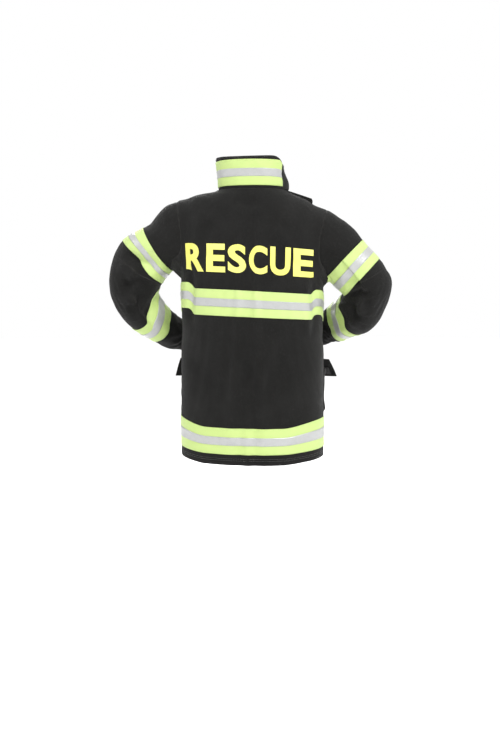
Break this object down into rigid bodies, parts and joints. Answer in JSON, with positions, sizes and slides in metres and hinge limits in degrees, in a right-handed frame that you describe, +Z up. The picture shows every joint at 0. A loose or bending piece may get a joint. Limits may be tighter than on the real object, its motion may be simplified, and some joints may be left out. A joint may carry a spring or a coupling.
{
  "type": "turnout coat",
  "caption": "Black firefighter turnout coat with standing collar, bent sleeves, storm flap over a zip, flap pockets and lime and silver reflective tapes; hollow, with open cuffs.",
  "frame": {"origin": "middle of the neck seam, where the collar joins the body", "axes": "+Z up, the coat's front faces -Y, its back +Y, the wearer's left is +X"},
  "size_m": [0.5744, 0.2322, 0.608],
  "materials": {
    "shell": "black heavy woven cotton",
    "lining": "quilted dark lining",
    "lime_tape": "fluorescent lime woven tape",
    "silver_tape": "retroreflective silver",
    "lettering": "pale yellow printed ply",
    "hook_loop": "black hook and loop",
    "zip_tape": "black woven tape",
    "zip_coil": "black moulded coil",
    "zip_metal": "antique brass"
  },
  "bodies": {
    "coat": {"back_panel": "shell", "front_panel_left": "shell", "front_panel_right": "shell", "collar_shell": "shell", "flap_placket": "shell", "radio_pocket": "shell", "hang_loop": "shell", "hip_pocket_left": "shell", "hip_pocket_right": "shell", "body_liner": "lining", "collar_lining": "lining", "collar_tape": "lime_tape", "chest_tape": "lime_tape", "hem_tape": "lime_tape", "collar_stripe": "silver_tape", "chest_stripe": "silver_tape", "hem_stripe": "silver_tape", "back_letters": "lettering", "front_loop_strip": "hook_loop", "radio_pocket_loop": "hook_loop", "collar_loop_patch": "hook_loop", "hip_pocket_loop_left": "hook_loop", "hip_pocket_loop_right": "hook_loop", "zip_tape_left": "zip_tape", "zip_tape_right": "zip_tape", "zip_coil_left": "zip_coil", "zip_coil_right": "zip_coil", "zip_bottom_stop": "zip_metal"},
    "sleeve_left": {"upper_sleeve_left": "shell", "upper_sleeve_liner_left": "lining", "upper_sleeve_tape_left": "lime_tape", "upper_sleeve_stripe_left": "silver_tape"},
    "forearm_left": {"forearm_sleeve_left": "shell", "sleeve_cuff_left": "shell", "forearm_liner_left": "lining", "wrist_tape_left": "lime_tape", "wrist_stripe_left": "silver_tape"},
    "pocket_flap_left": {"hip_flap_left": "shell", "hip_flap_hook_left": "hook_loop"},
    "sleeve_right": {"upper_sleeve_right": "shell", "upper_sleeve_liner_right": "lining", "upper_sleeve_tape_right": "lime_tape", "upper_sleeve_stripe_right": "silver_tape"},
    "forearm_right": {"forearm_sleeve_right": "shell", "sleeve_cuff_right": "shell", "forearm_liner_right": "lining", "wrist_tape_right": "lime_tape", "wrist_stripe_right": "silver_tape"},
    "pocket_flap_right": {"hip_flap_right": "shell", "hip_flap_hook_right": "hook_loop"},
    "front_flap": {"storm_flap": "shell", "flap_hook_strip": "hook_loop", "flap_tapes": "lime_tape", "flap_stripes": "silver_tape"},
    "chest_flap": {"radio_flap": "shell", "radio_flap_hook": "hook_loop"},
    "slider": {"zip_slider": "zip_metal"},
    "pull": {"zip_pull": "zip_metal"},
    "tab": {"throat_tab": "shell", "throat_tab_hook": "hook_loop"}
  },
  "joints": [
    {"name": "shoulder_left", "type": "hinge", "parent": "coat", "child": "sleeve_left", "pos_m": [0.16, 0.005, -0.103], "axis": [-1, 0, 0], "range_deg": [0, 30]},
    {"name": "elbow_left", "type": "hinge", "parent": "sleeve_left", "child": "forearm_left", "pos_m": [0.237, -0.008, -0.208], "axis": [0.4207, -0.8098, 0.4088], "range_deg": [0, 38]},
    {"name": "pocket_flap_lift_left", "type": "hinge", "parent": "coat", "child": "pocket_flap_left", "pos_m": [0.11727, -0.06775, -0.345], "axis": [-0.788, -0.6157, 0], "range_deg": [0, 48]},
    {"name": "shoulder_right", "type": "hinge", "parent": "coat", "child": "sleeve_right", "pos_m": [-0.16, 0.005, -0.103], "axis": [-1, 0, 0], "range_deg": [0, 30]},
    {"name": "elbow_right", "type": "hinge", "parent": "sleeve_right", "child": "forearm_right", "pos_m": [-0.237, -0.008, -0.208], "axis": [0.4207, 0.8098, -0.4088], "range_deg": [0, 38]},
    {"name": "pocket_flap_lift_right", "type": "hinge", "parent": "coat", "child": "pocket_flap_right", "pos_m": [-0.11727, -0.06775, -0.345], "axis": [-0.788, 0.6157, 0], "range_deg": [0, 48]},
    {"name": "front_flap_open", "type": "hinge", "parent": "coat", "child": "front_flap", "pos_m": [0.026, -0.10195, -0.28], "axis": [0, 0, 1], "range_deg": [0, 110]},
    {"name": "chest_flap_lift", "type": "hinge", "parent": "coat", "child": "chest_flap", "pos_m": [0.0942, -0.0814, -0.106], "axis": [-0.9135, -0.4067, 0], "range_deg": [0, 60]},
    {"name": "zip_slide", "type": "slide", "parent": "coat", "child": "slider", "axis": [0, 0, -1], "range_m": [0, 0.325]},
    {"name": "zip_pull_swing", "type": "hinge", "parent": "slider", "child": "pull", "pos_m": [0, -0.0968, -0.1815], "axis": [0, 1, 0], "range_deg": [-25, 25]},
    {"name": "throat_tab_swing", "type": "hinge", "parent": "coat", "child": "tab", "pos_m": [-0.016, -0.0532, 0.0145], "axis": [0, 0, 1], "range_deg": [0, 165]}
  ]
}
